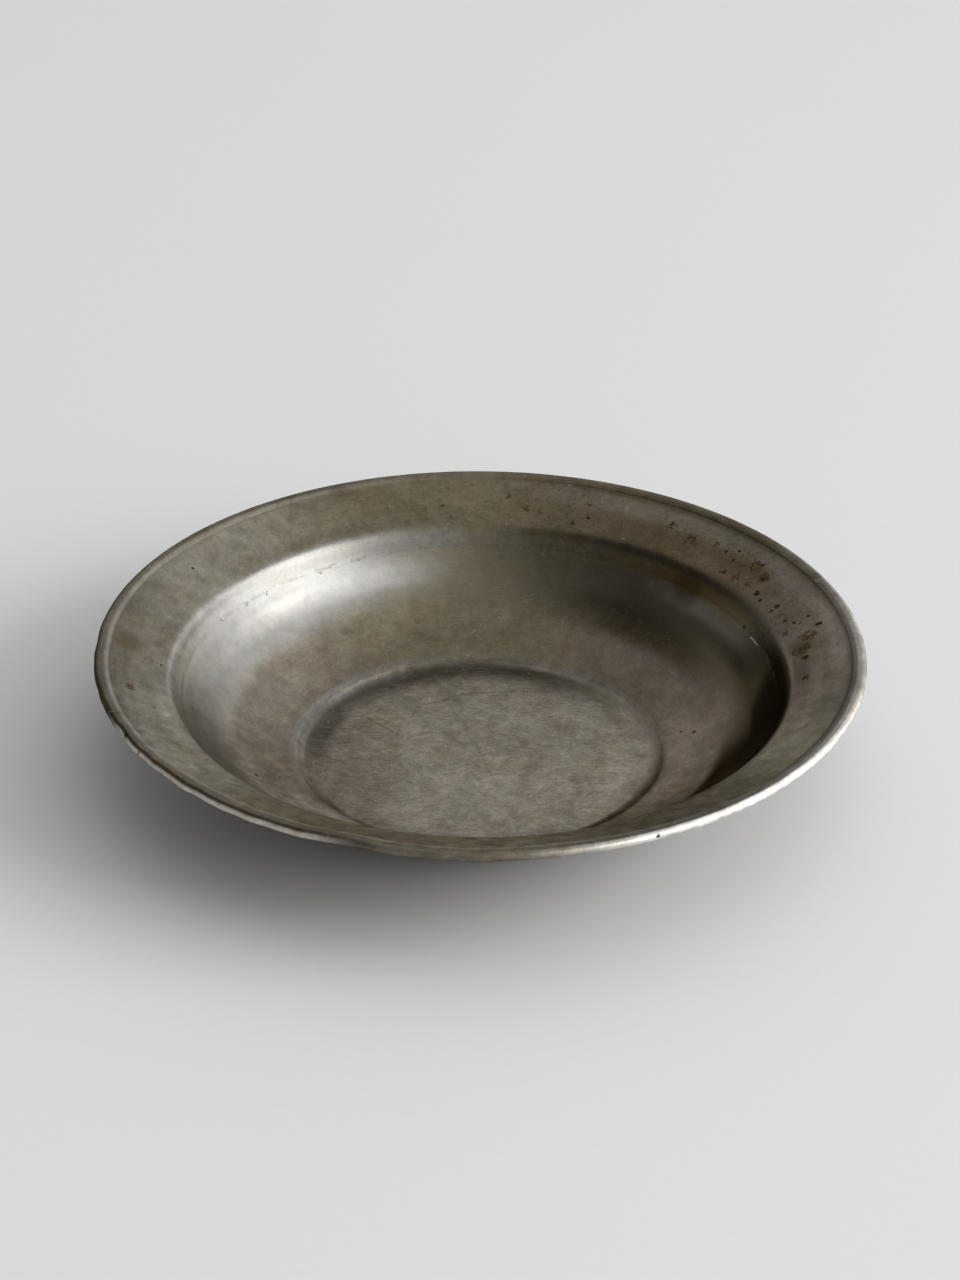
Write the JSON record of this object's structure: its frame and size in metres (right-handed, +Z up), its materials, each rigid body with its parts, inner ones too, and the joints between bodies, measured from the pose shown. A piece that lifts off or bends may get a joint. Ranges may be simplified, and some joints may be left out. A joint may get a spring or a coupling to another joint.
{
  "type": "deep rimmed dish",
  "caption": "Round deep dish of worn sheet steel with a recessed flat centre, a curved bowl, a wide sloping flange and an edge rolled over a wire.",
  "frame": {"origin": "middle of the flat face under the centre disc, which the dish rests on", "axes": "+Z up along the axis of the dish; the ends of the wire meet at +X"},
  "size_m": [0.26, 0.26, 0.0438],
  "materials": {
    "sheet_steel": "dull worn grey with brown stains, fine scratches and rust pits",
    "wire_steel": "plain drawn wire"
  },
  "bodies": {
    "root": {"dish_shell": "sheet_steel", "rim_wire": "wire_steel"}
  },
  "joints": []
}
